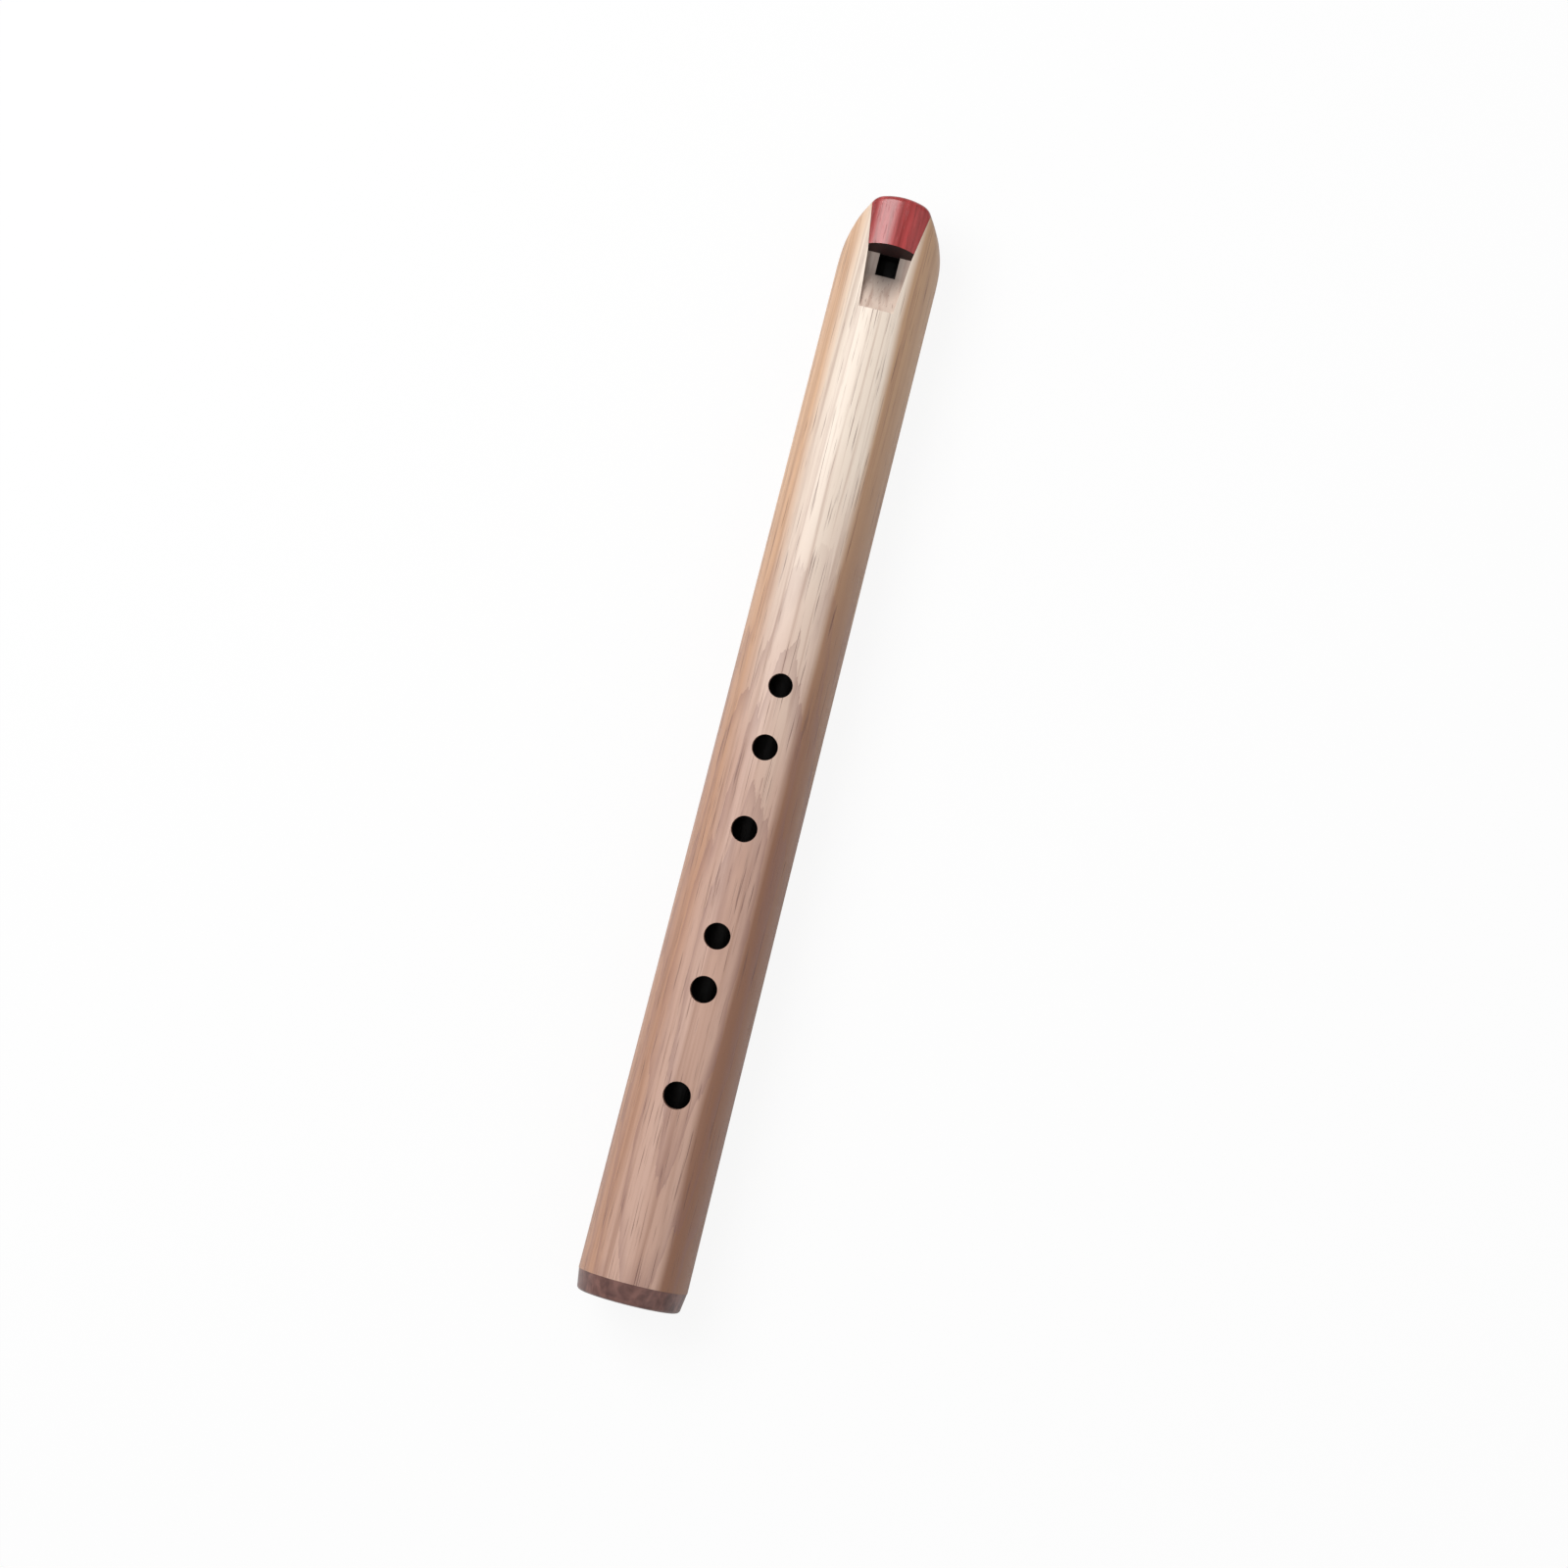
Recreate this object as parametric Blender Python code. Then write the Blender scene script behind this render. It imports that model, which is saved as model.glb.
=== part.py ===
"""A small six-hole wooden whistle flute: bored body with a beak, red windway block, dark foot ring.

Lengths are metres. Shapes are drawn along X from the foot end (x = 0) to the mouth end
(x = LENGTH), with the bore on y = z = 0 and the finger holes facing +Z. The empty named
flute then sets the lot on the ground: centred, lying on its underside, mouth towards +X.
"""

import math

import bmesh
import bpy
from mathutils import Vector

# %% Driving sizes of the whole flute
LENGTH = 0.278
FOOT_DIAMETER = 0.0276
HEAD_DIAMETER = 0.0249
TAPER_POWER = 1.7  # 1 is a straight cone; more keeps the flare near the foot
BORE_DIAMETER = 0.016
FIT_GAP = 0.0003  # clearance left between two pieces that meet

# %% Finger holes: distance of each centre from the foot end, and its diameter
FINGER_HOLES = (
    (0.0525, 0.0069),
    (0.0791, 0.0067),
    (0.0925, 0.0066),
    (0.1194, 0.0065),
    (0.1399, 0.0064),
    (0.1554, 0.0060),
)

# %% Foot ring
RING_LENGTH = 0.0052
RING_DRAW_IN = 0.0007  # how much smaller its radius is at the end than at the seam
RING_CORNER = 0.0010
RING_BORE_EASE = 0.0005

# %% Beak: the flanks and the underside curve in towards the mouth
FLANK_LENGTH = 0.0236
FLANK_RADIUS = 0.0396
UNDERSIDE_LENGTH = 0.0230
UNDERSIDE_RADIUS = 0.0180
BEAK_EDGE_BLEND = 0.0010  # width over which two beak surfaces melt into each other
LIP_ARC_RADIUS = 0.0200  # plan radius of the mouth end
LIP_ARC_LENGTH = 0.0080  # stretch over which that arc builds up
LIP_ROUNDING = 0.0012

# %% Window and ramp, measured back from the mouth end
LABIUM_FROM_MOUTH = 0.0196
WINDOW_LENGTH = 0.0053
WINDOW_WIDTH = 0.00505
LABIUM_THICKNESS = 0.0005  # wood left between the ramp's edge and the bore
RAMP_LENGTH = 0.0085
RAMP_STEP = 0.0009  # depth of the ramp's far end below the top of the body

# %% Recess for the block, widening from the ramp's end to the mouth
RECESS_WIDTH_AT_RAMP = 0.0085
RECESS_WIDTH_AT_WINDOW = 0.0110
RECESS_WIDTH_AT_MOUTH = 0.0156

# %% Windway: the flat air channel under the block
WINDWAY_HEIGHT_AT_WINDOW = 0.0010
WINDWAY_HEIGHT_AT_MOUTH = 0.0015
WINDWAY_WIDTH_AT_MOUTH = 0.0070

# %% Block
BLOCK_FACE_LEAN = math.radians(31)  # its window-side face leans back from upright

# %% Smoothness of the mesh
BODY_SIDES = 48
BORE_SIDES = 32
HOLE_SIDES = 24
TUBE_STEPS = 12
BEAK_STEPS = 14
LIP_STEPS = 4
CAP_STEPS = 3
CORNER_STEPS = 4

# %% Sizes that follow from the ones above
HEAD_RADIUS = HEAD_DIAMETER / 2
FOOT_RADIUS = FOOT_DIAMETER / 2
BORE_RADIUS = BORE_DIAMETER / 2
BODY_START = RING_LENGTH + FIT_GAP
LABIUM_X = LENGTH - LABIUM_FROM_MOUTH
WINDOW_HEAD_X = LABIUM_X + WINDOW_LENGTH
RAMP_END_X = LABIUM_X - RAMP_LENGTH
FLOOR_Z = BORE_RADIUS + LABIUM_THICKNESS
RAMP_END_Z = HEAD_RADIUS - RAMP_STEP
CUTTER_REACH = 0.002  # how far a cutter runs past the surface that it opens
CUTTER_TOP_Z = FOOT_RADIUS + CUTTER_REACH
PAST_MOUTH_X = LENGTH + CUTTER_REACH


# %% Small helpers
def lerp(a, b, t):
    return a + (b - a) * t


def soft_min(a, b, blend):
    """The smaller of two lengths, rounded off where they are within blend of each other."""
    overlap = max(blend - abs(a - b), 0) / blend
    return min(a, b) - overlap * overlap * blend / 4


def angles(sides):
    """Directions round the axis, with a flat facet at the bottom of the ring."""
    return [math.tau * (i + 0.5) / sides for i in range(sides)]


def material(name, color, roughness):
    made = bpy.data.materials.new(name)
    made.use_nodes = True
    shader = made.node_tree.nodes["Principled BSDF"]
    shader.inputs["Base Color"].default_value = (*color, 1)
    shader.inputs["Roughness"].default_value = roughness
    shader.inputs["Metallic"].default_value = 0
    made.diffuse_color = (*color, 1)
    return made


def add_object(name, bm, parent, finish=None):
    """A named object from a bmesh; without a finish it is a hidden cutter."""
    bmesh.ops.recalc_face_normals(bm, faces=bm.faces)
    mesh = bpy.data.meshes.new(name)
    bm.to_mesh(mesh)
    bm.free()
    obj = bpy.data.objects.new(name, mesh)
    bpy.context.scene.collection.objects.link(obj)
    obj.parent = parent
    if finish:
        mesh.materials.append(finish)
        mesh.shade_smooth()
        mesh.set_sharp_from_angle(angle=math.radians(32))
    else:
        obj.hide_render = True
        obj.display_type = "WIRE"
    return obj


def cut(obj, tool, operation="DIFFERENCE"):
    modifier = obj.modifiers.new(tool.name, "BOOLEAN")
    modifier.operation = operation
    modifier.solver = "EXACT"
    modifier.object = tool


def loft(rings, tip=None):
    """A closed skin over rings of equal point counts; tip ends it in a fan, not a flat face."""
    bm = bmesh.new()
    rows = [[bm.verts.new(point) for point in ring] for ring in rings]
    count = len(rows[0])
    for low, high in zip(rows, rows[1:]):
        for i in range(count):
            j = (i + 1) % count
            bm.faces.new((low[i], low[j], high[j], high[i]))
    bm.faces.new(rows[0][::-1])
    if tip is None:
        bm.faces.new(rows[-1])
        return bm
    end = bm.verts.new(tip)
    for i in range(count):
        bm.faces.new((rows[-1][i], rows[-1][(i + 1) % count], end))
    return bm


def turned(profile, sides):
    """A solid of revolution about X from a closed loop of (x, radius) points.

    Each facet's middle lies at the stated radius, so the facets enclose the true circle.
    """
    swell = 1 / math.cos(math.pi / sides)
    bm = bmesh.new()
    rows = []
    for x, radius in profile:
        row = [(x, radius * swell * math.cos(a), radius * swell * math.sin(a)) for a in angles(sides)]
        rows.append([bm.verts.new(point) for point in row])
    for low, high in zip(rows, rows[1:] + rows[:1]):
        for i in range(sides):
            j = (i + 1) % sides
            bm.faces.new((low[i], low[j], high[j], high[i]))
    return bm


def prism_along_x(stations):
    """A box-like solid through stations of (x, half width, bottom z, top z, top x shift)."""
    rings = []
    for x, half, low, high, shift in stations:
        rings.append(
            [
                Vector((x, -half, low)),
                Vector((x, half, low)),
                Vector((x + shift, half, high)),
                Vector((x + shift, -half, high)),
            ]
        )
    return loft(rings)


# %% Outer shape shared by the body and the block
def body_radius(x):
    """Radius of the outside: it flares gently towards the foot."""
    share = 1 - min(max(x / LENGTH, 0), 1)
    return HEAD_RADIUS + (FOOT_RADIUS - HEAD_RADIUS) * share**TAPER_POWER


def curve_in(x, length, radius):
    """Distance from the bore axis to a beak surface that starts length before the mouth."""
    along = max(x - (LENGTH - length), 0)
    return HEAD_RADIUS + BEAK_EDGE_BLEND - along * along / (2 * radius)


def lip_inset(x):
    """How far the outline is drawn in by the rounded rim of the mouth end."""
    past = min(max(x - (LENGTH - LIP_ROUNDING), 0) / LIP_ROUNDING, 1)
    return LIP_ROUNDING * (1 - math.sqrt(1 - past * past))


def lip_setback(x, y):
    """How far a point moves back so that the mouth end is an arc in plan."""
    build_up = min(max(x - (LENGTH - LIP_ARC_LENGTH), 0) / LIP_ARC_LENGTH, 1)
    return build_up**2 * y * y / (2 * LIP_ARC_RADIUS)


def section(x, scale=1.0):
    """One ring of the outside: a circle, narrowed by the beak's flanks and underside."""
    inset = lip_inset(x)
    radius = body_radius(x) / math.cos(math.pi / BODY_SIDES) - inset
    flank = curve_in(x, FLANK_LENGTH, FLANK_RADIUS) - inset
    underside = curve_in(x, UNDERSIDE_LENGTH, UNDERSIDE_RADIUS) - inset
    middle_z = max(HEAD_RADIUS - underside, 0) / 2
    in_beak = x > LENGTH - max(FLANK_LENGTH, UNDERSIDE_LENGTH)
    ring = []
    for a in angles(BODY_SIDES):
        across, up = math.cos(a), math.sin(a)
        reach = math.sqrt(radius * radius - (middle_z * across) ** 2) - middle_z * up
        if in_beak:
            reach = soft_min(reach, flank / max(abs(across), 1e-3), BEAK_EDGE_BLEND)
            if up < 0:
                reach = soft_min(reach, (middle_z + underside) / max(-up, 1e-3), BEAK_EDGE_BLEND)
        y = across * reach * scale
        z = middle_z + up * reach * scale
        ring.append(Vector((x - lip_setback(x, y), y, z)))
    return ring


def outer_solid():
    """The whole outside as one closed solid, from the ring's seat to the mouth end."""
    beak_start = LENGTH - max(FLANK_LENGTH, UNDERSIDE_LENGTH)
    rim_start = LENGTH - LIP_ROUNDING
    stations = [lerp(BODY_START, beak_start, i / TUBE_STEPS) for i in range(TUBE_STEPS)]
    stations += [lerp(beak_start, rim_start, i / BEAK_STEPS) for i in range(BEAK_STEPS)]
    stations += [
        rim_start + LIP_ROUNDING * math.sin(math.pi / 2 * i / LIP_STEPS) for i in range(LIP_STEPS + 1)
    ]
    rings = [section(x) for x in stations]
    rings += [section(LENGTH, 1 - i / CAP_STEPS) for i in range(1, CAP_STEPS)]
    return loft(rings, tip=section(LENGTH, 0)[0])


# %% Recess, shared by the cutter in the body and the block that fills it
def recess_half_width(x):
    if x < WINDOW_HEAD_X:
        share = (x - RAMP_END_X) / (WINDOW_HEAD_X - RAMP_END_X)
        return lerp(RECESS_WIDTH_AT_RAMP, RECESS_WIDTH_AT_WINDOW, share) / 2
    share = (x - WINDOW_HEAD_X) / (LENGTH - WINDOW_HEAD_X)
    return lerp(RECESS_WIDTH_AT_WINDOW, RECESS_WIDTH_AT_MOUTH, share) / 2


def recess_tool():
    """Ramp, flat floor and flaring seat, open at the top and at the mouth."""
    floors = (
        (RAMP_END_X, RAMP_END_Z),
        (LABIUM_X, FLOOR_Z),
        (WINDOW_HEAD_X, FLOOR_Z),
        (PAST_MOUTH_X, FLOOR_Z),
    )
    return prism_along_x([(x, recess_half_width(x), z, CUTTER_TOP_Z, 0) for x, z in floors])


# %% Pieces
def flute_body(parent, finish):
    """The bored body with its beak, recess, windway, window, ramp and finger holes."""
    body = add_object("flute_body", outer_solid(), parent, finish)

    bore = [(BODY_START - CUTTER_REACH, BORE_RADIUS), (WINDOW_HEAD_X, BORE_RADIUS)]
    bore_rings = [
        [Vector((x, r * math.cos(a), r * math.sin(a))) for a in angles(BORE_SIDES)]
        for x, r in ((x, r / math.cos(math.pi / BORE_SIDES)) for x, r in bore)
    ]
    cut(body, add_object("bore_cutter", loft(bore_rings), parent))
    cut(body, add_object("recess_cutter", recess_tool(), parent))

    windway = prism_along_x(
        [
            (
                LABIUM_X + WINDOW_LENGTH / 2,
                WINDOW_WIDTH / 2,
                FLOOR_Z - WINDWAY_HEIGHT_AT_WINDOW,
                FLOOR_Z + FIT_GAP,
                0,
            ),
            (
                WINDOW_HEAD_X,
                WINDOW_WIDTH / 2,
                FLOOR_Z - WINDWAY_HEIGHT_AT_WINDOW,
                FLOOR_Z + FIT_GAP,
                0,
            ),
            (
                PAST_MOUTH_X,
                WINDWAY_WIDTH_AT_MOUTH / 2,
                FLOOR_Z - WINDWAY_HEIGHT_AT_MOUTH,
                FLOOR_Z + FIT_GAP,
                0,
            ),
        ]
    )
    cut(body, add_object("windway_cutter", windway, parent))

    window = prism_along_x(
        [(x, WINDOW_WIDTH / 2, 0, CUTTER_TOP_Z, 0) for x in (LABIUM_X, WINDOW_HEAD_X)]
    )
    cut(body, add_object("window_cutter", window, parent))

    for number, (x, diameter) in enumerate(FINGER_HOLES, 1):
        radius = diameter / 2 / math.cos(math.pi / HOLE_SIDES)
        rings = [
            [Vector((x + radius * math.cos(a), radius * math.sin(a), z)) for a in angles(HOLE_SIDES)]
            for z in (0, CUTTER_TOP_Z)
        ]
        cut(body, add_object(f"finger_hole_cutter_{number}", loft(rings), parent))
    return body


def windway_block(parent, finish):
    """The red block: its underside roofs the windway, its top carries on the body's curve."""
    block = add_object("windway_block", outer_solid(), parent, finish)
    bottom = FLOOR_Z + FIT_GAP
    lean = (CUTTER_TOP_Z - bottom) * math.tan(BLOCK_FACE_LEAN)
    seat = prism_along_x(
        [
            (WINDOW_HEAD_X, recess_half_width(WINDOW_HEAD_X) - FIT_GAP, bottom, CUTTER_TOP_Z, 0),
            (PAST_MOUTH_X, recess_half_width(PAST_MOUTH_X) - FIT_GAP, bottom, CUTTER_TOP_Z, 0),
        ]
    )
    cut(block, add_object("block_seat_tool", seat, parent), "INTERSECT")
    face = prism_along_x(
        [
            (WINDOW_HEAD_X - lean, HEAD_RADIUS, bottom - CUTTER_REACH, CUTTER_TOP_Z, lean),
            (WINDOW_HEAD_X, HEAD_RADIUS, bottom, CUTTER_TOP_Z, lean),
        ]
    )
    cut(block, add_object("block_face_cutter", face, parent))
    return block


def foot_ring(parent, finish):
    """The dark ring on the foot: drawn in a little, rounded at the corner, bored through."""
    end_radius = body_radius(RING_LENGTH) - RING_DRAW_IN
    corner = [
        (
            RING_CORNER * (1 - math.sin(math.pi / 2 * i / CORNER_STEPS)),
            end_radius - RING_CORNER * (1 - math.cos(math.pi / 2 * i / CORNER_STEPS)),
        )
        for i in range(CORNER_STEPS + 1)
    ]
    profile = [
        (RING_LENGTH, body_radius(RING_LENGTH)),
        *corner,
        (0, BORE_RADIUS + RING_BORE_EASE),
        (RING_BORE_EASE, BORE_RADIUS),
        (RING_LENGTH, BORE_RADIUS),
    ]
    return add_object("foot_ring", turned(profile, BODY_SIDES), parent, finish)


# %% Build
def main():
    for obj in list(bpy.data.objects):
        bpy.data.objects.remove(obj, do_unlink=True)
    flute = bpy.data.objects.new("flute", None)
    bpy.context.scene.collection.objects.link(flute)
    flute.location = (-LENGTH / 2, 0, body_radius(RING_LENGTH))
    flute_body(flute, material("pale_walnut", (0.60, 0.42, 0.30), 0.45))
    windway_block(flute, material("red_padauk", (0.42, 0.07, 0.06), 0.3))
    foot_ring(flute, material("dark_walnut", (0.16, 0.08, 0.06), 0.4))


main()
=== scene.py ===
# %% [markdown]
# # A small wooden whistle flute
# The flute is three pieces of wood: a pale bored body, a red block let into its beak, and a dark
# ring on its foot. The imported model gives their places; this script gives them their real finish.

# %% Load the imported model
import math

import bmesh
import bpy
from mathutils import Matrix, Vector


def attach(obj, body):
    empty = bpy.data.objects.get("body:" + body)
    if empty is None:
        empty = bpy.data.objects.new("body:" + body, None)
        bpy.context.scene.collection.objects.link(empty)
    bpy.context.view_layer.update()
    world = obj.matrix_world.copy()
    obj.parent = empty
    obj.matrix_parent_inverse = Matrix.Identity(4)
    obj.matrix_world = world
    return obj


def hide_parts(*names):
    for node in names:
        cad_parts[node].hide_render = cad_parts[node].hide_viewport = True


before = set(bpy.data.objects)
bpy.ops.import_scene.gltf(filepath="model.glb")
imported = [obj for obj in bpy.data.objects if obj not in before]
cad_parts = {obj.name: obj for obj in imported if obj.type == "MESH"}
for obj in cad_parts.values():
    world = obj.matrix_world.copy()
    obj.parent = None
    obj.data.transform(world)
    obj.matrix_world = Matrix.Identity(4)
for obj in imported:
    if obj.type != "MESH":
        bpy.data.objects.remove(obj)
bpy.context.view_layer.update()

# %% [markdown]
# ## Sizes
# Lengths are metres, measured along the bore from the foot end. Heights are measured from the
# middle of the bore. The cuts in the beak are worked out from each other, as a maker marks them
# out: first the edge that splits the air, then the window, the ramp and the floor from that edge.

# %% Sizes of the flute
LENGTH = 0.278
FOOT_RADIUS = 0.0138
HEAD_RADIUS = 0.01245
TAPER_POWER = 1.7
BORE_RADIUS = 0.008
RING_LENGTH = 0.0052
SEAM = 0.00002
FINGER_HOLES = (
    (0.0525, 0.0069), (0.0791, 0.0067), (0.0925, 0.0066),
    (0.1194, 0.0065), (0.1399, 0.0064), (0.1554, 0.0060),
)
SIDES = 128
print("flute", LENGTH, "m long with", len(FINGER_HOLES), "finger holes")

# %% Sizes of the window, ramp and recess
LABIUM_FROM_MOUTH = 0.0196
WINDOW_LENGTH = 0.0053
WINDOW_WIDTH = 0.00505
RAMP_LENGTH = 0.0085
RAMP_END_DEPTH = 0.0009
FLOOR_WALL = 0.0005
OVERCUT = 0.002
RECESS_WIDTH_AT_RAMP = 0.0085
RECESS_WIDTH_AT_WINDOW = 0.0110
RECESS_WIDTH_AT_MOUTH = 0.0156
LABIUM_X = LENGTH - LABIUM_FROM_MOUTH
WINDOW_HEAD_X = LABIUM_X + WINDOW_LENGTH
RAMP_END_X = LABIUM_X - RAMP_LENGTH
RAMP_END_Z = HEAD_RADIUS - RAMP_END_DEPTH
FLOOR_Z = BORE_RADIUS + FLOOR_WALL
CUT_TOP = FOOT_RADIUS + OVERCUT
print("window from", LABIUM_X, "to", WINDOW_HEAD_X)

# %% [markdown]
# ## Places
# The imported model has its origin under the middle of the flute, and the flute lies along X.
# `place` moves a point from the maker's measures into that frame, so every finished mesh holds its
# own place and its object can stay at the origin.


# %% Places on the flute
def lerp(a, b, t):
    return a + (b - a) * t


def body_radius(x):
    share = 1 - min(max(x / LENGTH, 0), 1)
    return HEAD_RADIUS + (FOOT_RADIUS - HEAD_RADIUS) * share**TAPER_POWER


AXIS_Z = body_radius(RING_LENGTH)


def place(x, y, z):
    return Vector((x - LENGTH / 2, y, z + AXIS_Z))


def circle(x, radius, sides, start=0.0):
    """Points round the bore's axis; start turns them by a share of one step."""
    angles = [math.tau * (i + start) / sides for i in range(sides)]
    return [place(x, radius * math.cos(a), radius * math.sin(a)) for a in angles]


print("axis of the bore", AXIS_Z, "m above the ground")

# %% [markdown]
# ## Camera
# The photo looks down on the flute, a few degrees from its right side, with the mouth end at the
# upper right. The distance is taken to be a metre and a half, because the flute shows almost no
# perspective. The camera is set first, so that every later piece is judged from the photo's place.

# %% Camera at the photo's angle
TILT = math.radians(14.19)
ROLL = math.radians(3.0)
DISTANCE = 1.5
PIXELS_PER_METRE = 4157
PHOTO_SIDE = 1600
AIM_ALONG = -0.0066
AIM_ACROSS = 0.00605
along = Vector((1, 0, 0))
back = Vector((0, -math.sin(ROLL), math.cos(ROLL)))
across = Vector((0, -math.cos(ROLL), -math.sin(ROLL)))
right = math.sin(TILT) * along + math.cos(TILT) * across
up = math.cos(TILT) * along - math.sin(TILT) * across
aim = Vector((0, 0, AXIS_Z)) + AIM_ALONG * along + AIM_ACROSS * across
camera_data = bpy.data.cameras.new("camera")
camera_data.sensor_fit = "HORIZONTAL"
camera_data.angle = 2 * math.atan(PHOTO_SIDE / PIXELS_PER_METRE / 2 / DISTANCE)
camera_data.clip_start = 0.01
camera_data.clip_end = 20
camera = bpy.data.objects.new("camera", camera_data)
bpy.context.scene.collection.objects.link(camera)
turn = Matrix((right, up, back)).transposed().to_4x4()
camera.matrix_world = Matrix.Translation(aim + DISTANCE * back) @ turn
bpy.context.scene.camera = camera
print("camera sees", round(math.degrees(camera_data.angle), 2), "degrees")

# %% [markdown]
# ## Mesh helpers
# A loft skins a row of rings. Cutting is done with exact Booleans, and the result is read off as a
# plain mesh, so nothing is left live on the finished pieces.


# %% Loft
def loft(rings, tip=None):
    """A closed skin over rings of points; a tip closes the last ring with a fan."""
    bm = bmesh.new()
    rows = [[bm.verts.new(point) for point in ring] for ring in rings]
    count = len(rows[0])
    for low, high in zip(rows, rows[1:]):
        for i in range(count):
            j = (i + 1) % count
            bm.faces.new((low[i], low[j], high[j], high[i]))
    bm.faces.new(rows[0][::-1])
    if tip is None:
        bm.faces.new(rows[-1])
    else:
        end = bm.verts.new(tip)
        for i in range(count):
            bm.faces.new((rows[-1][i], rows[-1][(i + 1) % count], end))
    bmesh.ops.recalc_face_normals(bm, faces=bm.faces)
    return bm


def new_object(name, bm):
    mesh = bpy.data.meshes.new(name)
    bm.to_mesh(mesh)
    bm.free()
    obj = bpy.data.objects.new(name, mesh)
    bpy.context.scene.collection.objects.link(obj)
    return obj


# %% Cut and finish
SHARP_EDGE = math.radians(28)


def apply_all(obj):
    """Replaces an object's mesh by what its modifiers make of it."""
    graph = bpy.context.evaluated_depsgraph_get()
    mesh = bpy.data.meshes.new_from_object(obj.evaluated_get(graph))
    obj.modifiers.clear()
    obj.data = mesh


def cut(obj, tool, operation="DIFFERENCE"):
    modifier = obj.modifiers.new("cut", "BOOLEAN")
    modifier.operation = operation
    modifier.solver = "EXACT"
    modifier.object = tool
    apply_all(obj)
    bpy.data.objects.remove(tool, do_unlink=True)


def finish_piece(obj, node, material):
    obj.data.materials.clear()
    obj.data.materials.append(material)
    obj.data.shade_smooth()
    obj.data.set_sharp_from_angle(angle=SHARP_EDGE)
    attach(obj, "root")
    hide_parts(node)
    print(obj.name, len(obj.data.polygons), "faces")


# %% [markdown]
# ## Outer shape
# The outside is a tube that widens towards the foot, with a head narrowed by two curved flanks and
# a curved underside. It could be turned and then cut with three curved tools, but the cuts would
# leave hard edges. Here each section is worked out by a rule, and where two surfaces meet they melt
# together over a millimetre, as sanded wood does.

# %% Outer shape: one section
EDGE_BLEND = 0.0010
FLANK_LENGTH = 0.0236
FLANK_RADIUS = 0.0396
UNDERSIDE_LENGTH = 0.0230
UNDERSIDE_RADIUS = 0.0180
LIP_ARC_RADIUS = 0.020
LIP_ARC_LENGTH = 0.008
LIP_ROUNDING = 0.0012
NEARLY_ZERO = 1e-3


def soft_min(a, b):
    overlap = max(EDGE_BLEND - abs(a - b), 0) / EDGE_BLEND
    return min(a, b) - overlap * overlap * EDGE_BLEND / 4


def curve_in(x, length, radius):
    """How far a curved face stands from the axis, where it starts a given length from the mouth."""
    run = max(x - (LENGTH - length), 0)
    return HEAD_RADIUS + EDGE_BLEND - run * run / (2 * radius)


def share_of_last(x, length):
    """How much of the last stretch before the mouth lies behind x, from 0 to 1."""
    return min(max(x - (LENGTH - length), 0) / length, 1)


def section(x, scale=1.0):
    """The outline at x; scale shrinks it, to close the mouth end."""
    past = share_of_last(x, LIP_ROUNDING)
    inset = LIP_ROUNDING * (1 - math.sqrt(1 - past * past))
    radius = body_radius(x) - inset
    flank = curve_in(x, FLANK_LENGTH, FLANK_RADIUS) - inset
    underside = curve_in(x, UNDERSIDE_LENGTH, UNDERSIDE_RADIUS) - inset
    middle = max(HEAD_RADIUS - underside, 0) / 2
    build_up = share_of_last(x, LIP_ARC_LENGTH)
    ring = []
    for i in range(SIDES):
        a = math.tau * (i + 0.5) / SIDES
        c = math.cos(a)
        s = math.sin(a)
        reach = math.sqrt(radius * radius - (middle * c) ** 2) - middle * s
        if x > LENGTH - FLANK_LENGTH:
            reach = soft_min(reach, flank / max(abs(c), NEARLY_ZERO))
            if s < 0:
                reach = soft_min(reach, (middle + underside) / max(-s, NEARLY_ZERO))
        y = c * reach * scale
        z = middle + s * reach * scale
        ring.append(place(x - build_up**2 * y * y / (2 * LIP_ARC_RADIUS), y, z))
    return ring


# %% Outer shape: the whole outside
TUBE_STEPS = 60
BEAK_STEPS = 40
RIM_STEPS = 8
CAP_STEPS = 8


def outer_solid():
    start = RING_LENGTH + SEAM
    beak = LENGTH - FLANK_LENGTH
    rim = LENGTH - LIP_ROUNDING
    xs = [lerp(start, beak, i / TUBE_STEPS) for i in range(TUBE_STEPS)]
    xs += [lerp(beak, rim, i / BEAK_STEPS) for i in range(BEAK_STEPS)]
    xs += [rim + LIP_ROUNDING * math.sin(math.pi / 2 * i / RIM_STEPS) for i in range(RIM_STEPS + 1)]
    cap = [section(LENGTH, 1 - i / CAP_STEPS) for i in range(1, CAP_STEPS)]
    return loft([section(x) for x in xs] + cap, tip=section(LENGTH, 0)[0])


# %% [markdown]
# ## Cutting tools
# The recess, windway, window and the block's own sides are all straight cuts between a few
# stations along the bore, so one helper makes them all. The recess widens towards the mouth.


# %% Cutting tools
def prism(stations):
    """A solid through stations of (x, half width, bottom z, top z, shift of the top)."""
    rings = []
    for x, half, low, high, shift in stations:
        rings.append([place(x, -half, low), place(x, half, low),
                      place(x + shift, half, high), place(x + shift, -half, high)])
    return loft(rings)


def recess_half(x):
    """Half the width of the recess at x."""
    if x < WINDOW_HEAD_X:
        share = (x - RAMP_END_X) / (WINDOW_HEAD_X - RAMP_END_X)
        return lerp(RECESS_WIDTH_AT_RAMP, RECESS_WIDTH_AT_WINDOW, share) / 2
    share = (x - WINDOW_HEAD_X) / (LENGTH - WINDOW_HEAD_X)
    return lerp(RECESS_WIDTH_AT_WINDOW, RECESS_WIDTH_AT_MOUTH, share) / 2


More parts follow.
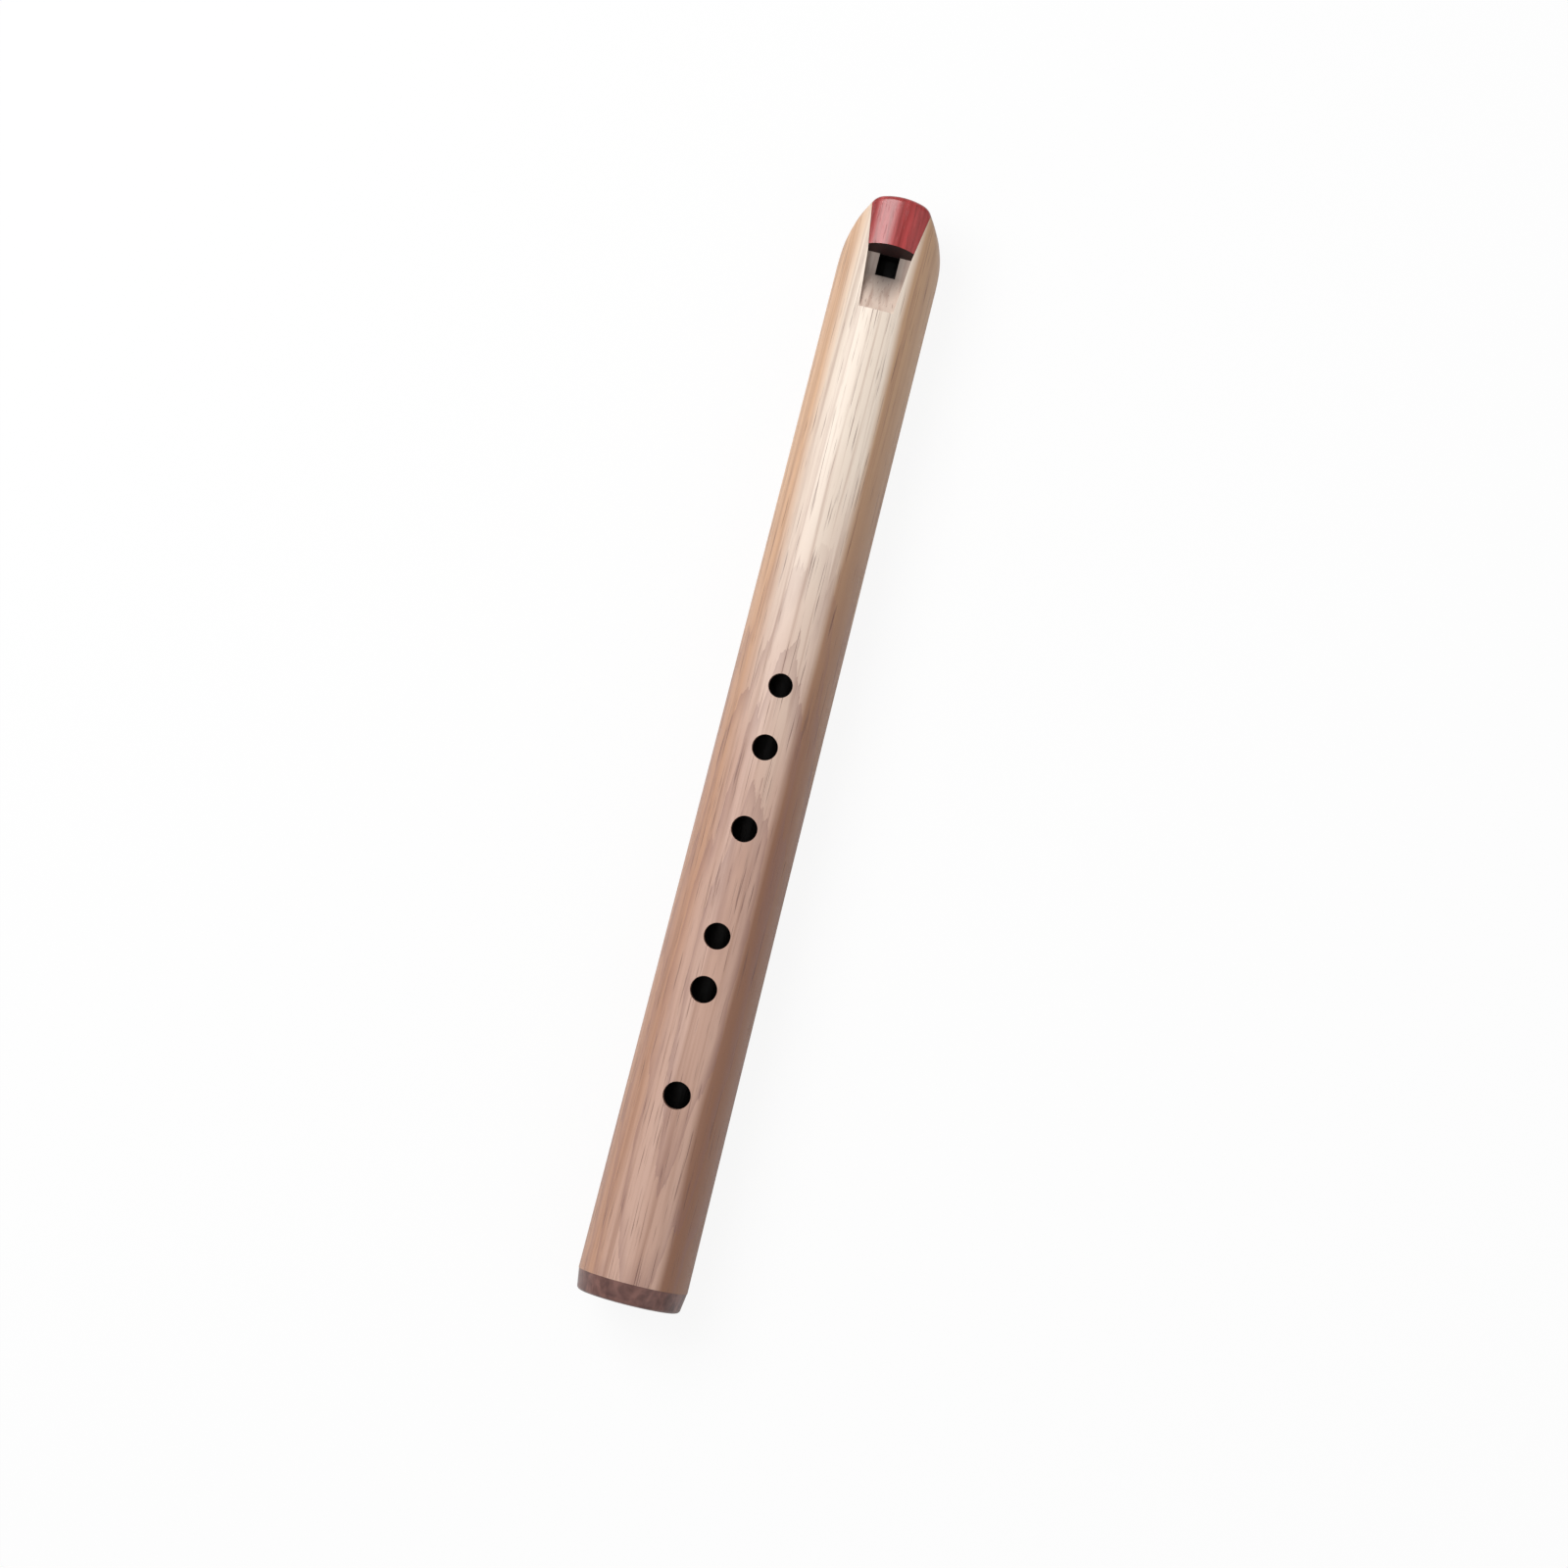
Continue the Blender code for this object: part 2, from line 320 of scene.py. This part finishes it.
# %% [markdown]
# ## Finger holes
# Six holes are drilled along the top, each with its own size. Geometry Nodes set one drill on each
# of six points and scale it by a stored diameter, which is quicker to change than six cylinders.
# The drills are only cutters, so the tree's last node, Set Material, is left without one.

# %% Finger drills: one point for each hole
drill_points = bmesh.new()
for hole_x, _ in FINGER_HOLES:
    drill_points.verts.new(place(hole_x, 0, CUT_TOP / 2))
drills = new_object("finger_drills", drill_points)
sizes = drills.data.attributes.new("diameter", "FLOAT", "POINT")
for item, (_, diameter) in zip(sizes.data, FINGER_HOLES):
    item.value = diameter
print("drill points", len(drills.data.vertices))

# %% Finger drills: the tree's sockets and the drill
DRILL_SIDES = 64
UNIT_RADIUS = 0.5
tree = bpy.data.node_groups.new("finger_drills", "GeometryNodeTree")
sockets = tree.interface
sockets.new_socket("Points", in_out="INPUT", socket_type="NodeSocketGeometry")
depth_socket = sockets.new_socket("Drill Depth", in_out="INPUT", socket_type="NodeSocketFloat")
sockets.new_socket("Drills", in_out="OUTPUT", socket_type="NodeSocketGeometry")
nodes = tree.nodes
links = tree.links
group_in = nodes.new("NodeGroupInput")
group_out = nodes.new("NodeGroupOutput")
drill = nodes.new("GeometryNodeMeshCylinder")
drill.inputs["Vertices"].default_value = DRILL_SIDES
drill.inputs["Radius"].default_value = UNIT_RADIUS
links.new(group_in.outputs["Drill Depth"], drill.inputs["Depth"])

# %% Finger drills: one drill on each point, at its own width
stored = nodes.new("GeometryNodeInputNamedAttribute")
stored.data_type = "FLOAT"
stored.inputs["Name"].default_value = "diameter"
across_only = nodes.new("ShaderNodeCombineXYZ")
across_only.inputs["Z"].default_value = 1
links.new(stored.outputs["Attribute"], across_only.inputs["X"])
links.new(stored.outputs["Attribute"], across_only.inputs["Y"])
scatter = nodes.new("GeometryNodeInstanceOnPoints")
links.new(group_in.outputs["Points"], scatter.inputs["Points"])
links.new(drill.outputs["Mesh"], scatter.inputs["Instance"])
links.new(across_only.outputs["Vector"], scatter.inputs["Scale"])
realize = nodes.new("GeometryNodeRealizeInstances")
links.new(scatter.outputs["Instances"], realize.inputs["Geometry"])
paint = nodes.new("GeometryNodeSetMaterial")
links.new(realize.outputs["Geometry"], paint.inputs["Geometry"])
links.new(paint.outputs["Geometry"], group_out.inputs["Drills"])
drilling = drills.modifiers.new("drills", "NODES")
drilling.node_group = tree
drilling[depth_socket.identifier] = CUT_TOP
apply_all(drills)
print("drills", len(drills.data.vertices), "vertices")

# %% [markdown]
# ## Wood
# The woods are made of noise: long streaks for the grain, and finer dark pores on the body and the
# block. An image could show them too, but nodes need no unwrapping: the pattern reads Object
# coordinates in metres, stretched along the bore like real fibres, and so runs through the wood.

# %% Wood helpers: screen colours, and where the Mix node keeps its colour sockets
MIX_COLOUR_A = 6
MIX_COLOUR_B = 7
MIX_COLOUR_RESULT = 2
COAT_ROUGHNESS = 0.25
BUMP_STRENGTH = 0.5


def linear(*colour):
    """A colour as it is seen on a screen, 0 to 255, in the linear values that shaders use."""
    shares = [value / 255 for value in colour]
    dark_limit = 10.3 / 255
    return tuple(v / 12.92 if v < dark_limit else ((v + 0.055) / 1.055) ** 2.4 for v in shares) + (1,)


# %% Wood helpers: short calls for the nodes that the woods share
class Wood:
    """A material and the nodes that the woods share, each as one short call."""

    def __init__(self, name, roughness, coat):
        self.material = bpy.data.materials.new(name)
        self.material.use_nodes = True
        self.tree = self.material.node_tree
        self.shader = self.tree.nodes["Principled BSDF"]
        self.shader.inputs["Roughness"].default_value = roughness
        self.shader.inputs["Coat Weight"].default_value = coat
        self.shader.inputs["Coat Roughness"].default_value = COAT_ROUGHNESS
        self.coords = self.tree.nodes.new("ShaderNodeTexCoord").outputs["Object"]

    def connect(self, value, socket):
        """Links another node's output to a socket, or sets the socket to a plain value."""
        if isinstance(value, bpy.types.NodeSocket):
            self.tree.links.new(value, socket)
        else:
            socket.default_value = value

    def stretched(self, scale, shift=(0, 0, 0)):
        node = self.tree.nodes.new("ShaderNodeMapping")
        node.inputs["Location"].default_value = shift
        node.inputs["Scale"].default_value = scale
        self.connect(self.coords, node.inputs["Vector"])
        return node.outputs["Vector"]

    def distance(self, vector):
        node = self.tree.nodes.new("ShaderNodeVectorMath")
        node.operation = "LENGTH"
        self.connect(vector, node.inputs[0])
        return node.outputs["Value"]

    def axis(self, name):
        node = self.tree.nodes.new("ShaderNodeSeparateXYZ")
        self.connect(self.coords, node.inputs["Vector"])
        return node.outputs[name]

    def noise(self, scale, detail, distortion=0.0):
        node = self.tree.nodes.new("ShaderNodeTexNoise")
        node.inputs["Scale"].default_value = 1
        node.inputs["Detail"].default_value = detail
        node.inputs["Distortion"].default_value = distortion
        self.connect(self.stretched(scale), node.inputs["Vector"])
        return node.outputs["Fac"]

    def ramp(self, value, low, high):
        """0 at low and 1 at high, which may also be the smaller of the two."""
        node = self.tree.nodes.new("ShaderNodeMapRange")
        node.inputs["From Min"].default_value = low
        node.inputs["From Max"].default_value = high
        self.connect(value, node.inputs["Value"])
        return node.outputs["Result"]

    def pattern(self, scale, detail, limits, distortion=0.0):
        """Noise whose values between the two limits are spread from 0 to 1."""
        return self.ramp(self.noise(scale, detail, distortion), *limits)

    def combine(self, operation, a, b=0.0):
        node = self.tree.nodes.new("ShaderNodeMath")
        node.operation = operation
        self.connect(a, node.inputs[0])
        self.connect(b, node.inputs[1])
        return node.outputs["Value"]

    def mix(self, amount, a, b):
        node = self.tree.nodes.new("ShaderNodeMix")
        node.data_type = "RGBA"
        self.connect(amount, node.inputs["Factor"])
        self.connect(a, node.inputs[MIX_COLOUR_A])
        self.connect(b, node.inputs[MIX_COLOUR_B])
        return node.outputs[MIX_COLOUR_RESULT]

    def tint(self, colour, mask, strength, other):
        """Brings in another colour where the mask is bright, by at most the strength."""
        return self.mix(self.combine("MULTIPLY", mask, strength), colour, other)

    def finish(self, colour, height, depth):
        bump = self.tree.nodes.new("ShaderNodeBump")
        bump.inputs["Strength"].default_value = BUMP_STRENGTH
        bump.inputs["Distance"].default_value = depth
        self.connect(height, bump.inputs["Height"])
        self.connect(bump.outputs["Normal"], self.shader.inputs["Normal"])
        self.connect(colour, self.shader.inputs["Base Color"])
        print(self.material.name, len(self.tree.nodes), "nodes")
        return self.material


# %% [markdown]
# ## Pale body wood
# The body is cream towards the head and pink-brown towards the foot, with a warm left flank and a
# browner right one. The paler head is partly the wood's own colour and partly a painted highlight,
# and the browner right flank is painted shade. One colour with noise would miss this, so each side
# has two colours, one for each end, and a slow noise lets their borders wander as growth rings do.

# %% Pale body wood: colours along and across the body
WANDER_SCALE = (12, 90, 90)
WANDER_ALONG = 0.12
WANDER_ACROSS = 0.004
FOOT_COLOUR_TO = -0.02
HEAD_COLOUR_FROM = 0.09
RIGHT_FLANK_SHADE = (-0.0075, -0.0055)
LEFT_FLANK = (0.0065, 0.0095)
pale = Wood("pale_walnut", 0.42, 0.15)
wander = pale.combine("SUBTRACT", pale.noise(WANDER_SCALE, 3), 0.5)
along_body = pale.combine("ADD", pale.axis("X"), pale.combine("MULTIPLY", wander, WANDER_ALONG))
across_body = pale.combine("ADD", pale.axis("Y"), pale.combine("MULTIPLY", wander, WANDER_ACROSS))
# Towards the head every side is paler: partly the wood's own colour, partly a painted highlight.
head_tone_and_highlight = pale.ramp(along_body, FOOT_COLOUR_TO, HEAD_COLOUR_FROM)
top_tone_and_highlight = pale.mix(head_tone_and_highlight, linear(198, 160, 142), linear(236, 220, 204))
left_colour = pale.mix(head_tone_and_highlight, linear(188, 142, 116), linear(220, 178, 142))
# The right flank's browner colours are painted shade, the side turned from the key lamp.
right_flank_shade_colour = pale.mix(head_tone_and_highlight, linear(148, 104, 80), linear(190, 152, 120))
body_colour_and_painted_light = pale.mix(pale.ramp(across_body, *RIGHT_FLANK_SHADE), right_flank_shade_colour, top_tone_and_highlight)
body_colour_and_painted_light = pale.mix(pale.ramp(across_body, *LEFT_FLANK), body_colour_and_painted_light, left_colour)

# %% [markdown]
# Three patterns lie over those colours. Streaks are a noise drawn out along the fibres. The plume
# is the set of nested arches that shows where a saw runs through growth rings at a low angle, so
# it is made of stretched shells round one point. Pores are the finest and darkest, and they alone
# are pressed into the surface.

# %% Pale body wood: streaks, plume and pores
STREAK_SCALE = (14, 700, 420)
STREAK_LIMITS = (0.50, 0.72)
STREAK_STRENGTH = 0.50
STREAK_COLOUR = linear(146, 104, 84)
PLUME_SHIFT = (2.6, 0.35, -3.3)
PLUME_SCALE = (42, 420, 240)
PLUME_WOBBLE_SCALE = (30, 260, 160)
PLUME_WOBBLE = 1.6
PLUME_RINGS = 1.1
PLUME_LIMITS = (0.55, 1.0)
PLUME_FADE = (0.062, 0.02)
PLUME_STRENGTH = 0.42
PLUME_COLOUR = linear(140, 102, 96)
PORE_SCALE = (70, 2600, 1800)
PORE_LIMITS = (0.60, 0.70)
PORE_STRENGTH = 0.60
PORE_COLOUR = linear(104, 70, 62)
PORE_DEPTH = 0.00008
streaks = pale.pattern(STREAK_SCALE, 5, STREAK_LIMITS, 0.4)
body_colour_and_painted_light = pale.tint(body_colour_and_painted_light, streaks, STREAK_STRENGTH, STREAK_COLOUR)
plume_distance = pale.distance(pale.stretched(PLUME_SCALE, PLUME_SHIFT))
plume_wobble = pale.combine("MULTIPLY", pale.noise(PLUME_WOBBLE_SCALE, 4), PLUME_WOBBLE)
plume_shells = pale.combine("MULTIPLY", pale.combine("ADD", plume_distance, plume_wobble), PLUME_RINGS)
plume_lines = pale.ramp(pale.combine("FRACT", plume_shells), *PLUME_LIMITS)
plume = pale.combine("MULTIPLY", plume_lines, pale.ramp(pale.axis("X"), *PLUME_FADE))
body_colour_and_painted_light = pale.tint(body_colour_and_painted_light, plume, PLUME_STRENGTH, PLUME_COLOUR)
pores = pale.pattern(PORE_SCALE, 3, PORE_LIMITS)
body_colour_and_painted_light = pale.tint(body_colour_and_painted_light, pores, PORE_STRENGTH, PORE_COLOUR)

# %% [markdown]
# The recess and its ramp are tinted pinker and darker, and the bore fades to nearly black: both are
# painted shade. Both follow from how far a point lies from the axis, which saves a second material
# and a hard border. The bore's shade reaches 11 mm from the axis, so it also darkens the recess
# floor by the window and the mouth end of the body.

# %% Pale body wood: painted shade in the recess and the bore
SKIN = (HEAD_RADIUS - 0.0001, HEAD_RADIUS - 0.0005)
RECESS_START = RAMP_END_X - LENGTH / 2
RECESS_FADE = 0.0004
RECESS_BOTTOM = (AXIS_Z + 0.007, AXIS_Z + 0.0075)
RECESS_SHADE_STRENGTH = 0.40
RECESS_SHADE_COLOUR = linear(176, 140, 126)
BORE_SHADE = (BORE_RADIUS + 0.003, BORE_RADIUS + 0.0001)
BORE_SHADE_COLOUR = linear(28, 16, 12)
from_axis = pale.distance(pale.stretched((0, 1, 1), (0, 0, -AXIS_Z)))
below_skin = pale.ramp(from_axis, *SKIN)
near_window = pale.ramp(pale.axis("X"), RECESS_START - RECESS_FADE, RECESS_START)
on_top = pale.ramp(pale.axis("Z"), *RECESS_BOTTOM)
recess_shade_mask = pale.combine("MULTIPLY", pale.combine("MULTIPLY", below_skin, near_window), on_top)
# Painted shade: the recess and its ramp are tinted darker and pinker.
body_colour_and_painted_light = pale.tint(body_colour_and_painted_light, recess_shade_mask, RECESS_SHADE_STRENGTH, RECESS_SHADE_COLOUR)
# Painted shade: points within 11 mm of the axis fade to nearly black, the bore and hole walls too.
body_colour_and_painted_light = pale.mix(pale.ramp(from_axis, *BORE_SHADE), body_colour_and_painted_light, BORE_SHADE_COLOUR)
body_wood = pale.finish(body_colour_and_painted_light, pale.combine("SUBTRACT", 1.0, pores), PORE_DEPTH)

# %% [markdown]
# ## Red block wood
# The block is a hard red wood with a polish, so its coat is stronger and its grain finer. The face
# that looks at the window is end grain, and its nearly black colour is painted shade as well as end
# grain. It is a second material, because it meets the red at a sharp edge.

# %% Red block wood, and its end face with painted shade
RED_GRAIN_SCALE = (60, 900, 500)
RED_GRAIN_LIMITS = (0.35, 0.70)
RED_PORE_SCALE = (160, 3200, 2400)
RED_PORE_LIMITS = (0.62, 0.70)
RED_PORE_STRENGTH = 0.5
RED_PORE_DEPTH = 0.00005
red = Wood("red_padauk", 0.26, 0.45)
red_grain = red.pattern(RED_GRAIN_SCALE, 5, RED_GRAIN_LIMITS, 0.3)
red_colour = red.mix(red_grain, linear(178, 62, 62), linear(128, 30, 28))
red_pores = red.pattern(RED_PORE_SCALE, 2, RED_PORE_LIMITS)
red_colour = red.tint(red_colour, red_pores, RED_PORE_STRENGTH, linear(96, 16, 20))
block_wood = red.finish(red_colour, red.combine("SUBTRACT", 1.0, red_pores), RED_PORE_DEPTH)

END_SPECKLE_SCALE = (900, 900, 900)
END_SPECKLE_LIMITS = (0.4, 0.7)
END_SPECKLE_DEPTH = 0.00003
# Painted shade: the end face's nearly black red stands for the shade it lies in as well as its end
# grain.
end_grain_and_shade = Wood("red_end_grain_and_shade", 0.5, 0.1)
end_speckle = end_grain_and_shade.pattern(END_SPECKLE_SCALE, 3, END_SPECKLE_LIMITS)
end_shade_colour = end_grain_and_shade.mix(end_speckle, linear(40, 10, 10), linear(22, 6, 7))
block_end_grain_and_shade = end_grain_and_shade.finish(end_shade_colour, end_shade_colour, END_SPECKLE_DEPTH)

# %% [markdown]
# ## Dark ring wood
# The ring is a darker, purple-brown wood with less shine than the block. Its fibres are taken to
# run across the flute, so its noise isn't drawn out along the bore. The grain itself is pressed
# into the surface, because such a small piece shows no separate pores.

# %% Dark ring wood
DARK_GRAIN_SCALE = (300, 260, 900)
DARK_GRAIN_LIMITS = (0.35, 0.70)
DARK_GRAIN_DEPTH = 0.00005
dark = Wood("dark_walnut", 0.38, 0.2)
dark_grain = dark.noise(DARK_GRAIN_SCALE, 5, 0.5)
dark_share = dark.ramp(dark_grain, *DARK_GRAIN_LIMITS)
dark_colour = dark.mix(dark_share, linear(128, 90, 82), linear(84, 54, 50))
ring_wood = dark.finish(dark_colour, dark_grain, DARK_GRAIN_DEPTH)

# %% [markdown]
# ## Body
# The bored body is cut from the outer shape: bore, recess with its ramp, windway, window and the
# six finger holes, in the order in which a maker could open them. Booleans suit this, because the
# real cuts are made with straight tools too.

# %% Body: outside, bore and recess
BORE_SIDES = 96
body = new_object("body_wood_piece", outer_solid())
bore_ends = (RING_LENGTH - OVERCUT, WINDOW_HEAD_X)
cut(body, new_object("bore", loft([circle(x, BORE_RADIUS, BORE_SIDES) for x in bore_ends])))
floors = (
    (RAMP_END_X, RAMP_END_Z),
    (LABIUM_X, FLOOR_Z),
    (WINDOW_HEAD_X, FLOOR_Z),
    (LENGTH + OVERCUT, FLOOR_Z),
)
cut(body, new_object("recess", prism([(x, recess_half(x), z, CUT_TOP, 0) for x, z in floors])))
print("bored body", len(body.data.polygons), "faces")

# %% Body: windway, window and finger holes
WINDWAY_START_PAST_LABIUM = 0.0026
WINDWAY_DEPTH_AT_WINDOW = 0.0010
WINDWAY_DEPTH_AT_MOUTH = 0.0015
WINDWAY_HALF_AT_MOUTH = 0.0035
WINDWAY_OVERLAP = 0.0003
window_half = WINDOW_WIDTH / 2
windway_start_x = LABIUM_X + WINDWAY_START_PAST_LABIUM
windway_top = FLOOR_Z + WINDWAY_OVERLAP
windway_stations = (
    (windway_start_x, window_half, FLOOR_Z - WINDWAY_DEPTH_AT_WINDOW, windway_top, 0),
    (WINDOW_HEAD_X, window_half, FLOOR_Z - WINDWAY_DEPTH_AT_WINDOW, windway_top, 0),
    (LENGTH + OVERCUT, WINDWAY_HALF_AT_MOUTH, FLOOR_Z - WINDWAY_DEPTH_AT_MOUTH, windway_top, 0),
)
cut(body, new_object("windway", prism(windway_stations)))
window_stations = [(x, window_half, 0, CUT_TOP, 0) for x in (LABIUM_X, WINDOW_HEAD_X)]
cut(body, new_object("window", prism(window_stations)))
cut(body, drills)
finish_piece(body, "flute_body", body_wood)

# %% [markdown]
# ## Block
# The block is the same outer shape cut to a wedge, so its top carries on the curve of the body.
# The face towards the window leans back, and the photo shows it as a dark band.

# %% Block
BLOCK_CLEARANCE = 0.00004
FACE_LEAN = math.radians(31)
END_GRAIN_NORMAL = -0.5
seat_ends = (WINDOW_HEAD_X, LENGTH + OVERCUT)
seat = prism([(x, recess_half(x) - BLOCK_CLEARANCE, FLOOR_Z + SEAM, CUT_TOP, 0) for x in seat_ends])
lean = (CUT_TOP - FLOOR_Z) * math.tan(FACE_LEAN)
face = prism([
    (WINDOW_HEAD_X - lean, HEAD_RADIUS, FLOOR_Z - OVERCUT, CUT_TOP, lean),
    (WINDOW_HEAD_X, HEAD_RADIUS, FLOOR_Z, CUT_TOP, lean),
])
block = new_object("red_block_piece", outer_solid())
cut(block, new_object("seat", seat), "INTERSECT")
cut(block, new_object("face", face))
finish_piece(block, "windway_block", block_wood)
# The faces towards the window get the end material with its painted shade.
block.data.materials.append(block_end_grain_and_shade)
end_shade_slot = block.data.materials.find(block_end_grain_and_shade.name)
for polygon in block.data.polygons:
    if polygon.normal.x < END_GRAIN_NORMAL:
        polygon.material_index = end_shade_slot

# %% [markdown]
# ## Foot ring
# The ring is turned: a profile of radius against length is spun round the bore. It draws in a
# little towards the end, and its corner is rounded. A spun profile is one closed surface at once,
# where a cylinder would need a second one taken out of it.

# %% Foot ring: profile
CORNER = 0.0010
CORNER_STEPS = 8
END_DRAW_IN = 0.0007
STEP_TO_BODY = 0.00008
BORE_EASING = ((0, 0.0005), (0.00015, 0.00015), (0.0005, 0))
end_radius = body_radius(RING_LENGTH) - END_DRAW_IN
profile = [(RING_LENGTH, body_radius(RING_LENGTH) - STEP_TO_BODY)]
for i in range(CORNER_STEPS + 1):
    bend = math.pi / 2 * i / CORNER_STEPS
    profile.append((CORNER * (1 - math.sin(bend)), end_radius - CORNER * (1 - math.cos(bend))))
profile += [(x, BORE_RADIUS + widening) for x, widening in BORE_EASING]
profile.append((RING_LENGTH, BORE_RADIUS))
print("ring profile", len(profile), "points")

# %% Foot ring: spun round the bore
ring_mesh = bmesh.new()
rows = []
for x, radius in profile:
    rows.append([ring_mesh.verts.new(point) for point in circle(x, radius, SIDES, 0.5)])
for low, high in zip(rows, rows[1:] + rows[:1]):
    for i in range(SIDES):
        j = (i + 1) % SIDES
        ring_mesh.faces.new((low[i], low[j], high[j], high[i]))
bmesh.ops.recalc_face_normals(ring_mesh, faces=ring_mesh.faces)
ring = new_object("foot_ring_piece", ring_mesh)
finish_piece(ring, "foot_ring", ring_wood)

# %% [markdown]
# ## Floor and light
# The photo's ground is plain white. For the camera alone the floor is nine parts glow to one part
# matt white, which leaves a faint shadow under the flute; for every other ray it is matt white.
# One broad soft lamp stands at the upper left and a weaker one fills from the right.

# %% Floor
FLOOR_HALF = 4
FLOOR_DROP = 0.0002
FLOOR_WHITE = (0.9, 0.9, 0.9, 1)
GLOW_SHARE = 0.9
floor_mesh = bmesh.new()
bmesh.ops.create_grid(floor_mesh, x_segments=1, y_segments=1, size=FLOOR_HALF)
floor = new_object("floor", floor_mesh)
floor.data.transform(Matrix.Translation((0, 0, -FLOOR_DROP)))
floor_material = bpy.data.materials.new("white_ground")
floor_material.use_nodes = True
floor_nodes = floor_material.node_tree.nodes
floor_links = floor_material.node_tree.links
matte = floor_nodes["Principled BSDF"]
matte.inputs["Base Color"].default_value = FLOOR_WHITE
matte.inputs["Roughness"].default_value = 1
glow = floor_nodes.new("ShaderNodeEmission")
light_path = floor_nodes.new("ShaderNodeLightPath")
seen = floor_nodes.new("ShaderNodeMath")
seen.operation = "MULTIPLY"
seen.inputs[1].default_value = GLOW_SHARE
floor_links.new(light_path.outputs["Is Camera Ray"], seen.inputs[0])
blend = floor_nodes.new("ShaderNodeMixShader")
floor_links.new(seen.outputs["Value"], blend.inputs[0])
floor_links.new(matte.outputs["BSDF"], blend.inputs[1])
floor_links.new(glow.outputs["Emission"], blend.inputs[2])
floor_links.new(blend.outputs["Shader"], floor_nodes["Material Output"].inputs["Surface"])
floor.data.materials.append(floor_material)
print("floor", 2 * FLOOR_HALF, "m wide")

# %% Lamps and world
KEY_PLACE = (0.30, 0.50, 0.9)
KEY_SIZE = 0.7
KEY_POWER = 8.6
FILL_PLACE = (-0.1, -0.7, 0.7)
FILL_SIZE = 0.6
FILL_POWER = 1.0
WORLD_STRENGTH = 0.38


def lamp(name, location, size, power):
    """A square soft lamp that points at the origin, under the middle of the flute."""
    data = bpy.data.lights.new(name, "AREA")
    data.shape = "SQUARE"
    data.size = size
    data.energy = power
    obj = bpy.data.objects.new(name, data)
    obj.location = location
    obj.rotation_euler = (-Vector(location)).to_track_quat("-Z", "Y").to_euler()
    bpy.context.scene.collection.objects.link(obj)
    print(name, power, "W")


lamp("key", KEY_PLACE, KEY_SIZE, KEY_POWER)
lamp("fill", FILL_PLACE, FILL_SIZE, FILL_POWER)
world = bpy.data.worlds.new("studio")
world.use_nodes = True
background = world.node_tree.nodes["Background"]
background.inputs["Color"].default_value = (1, 1, 1, 1)
background.inputs["Strength"].default_value = WORLD_STRENGTH
bpy.context.scene.world = world
bpy.context.scene.view_settings.view_transform = "Standard"
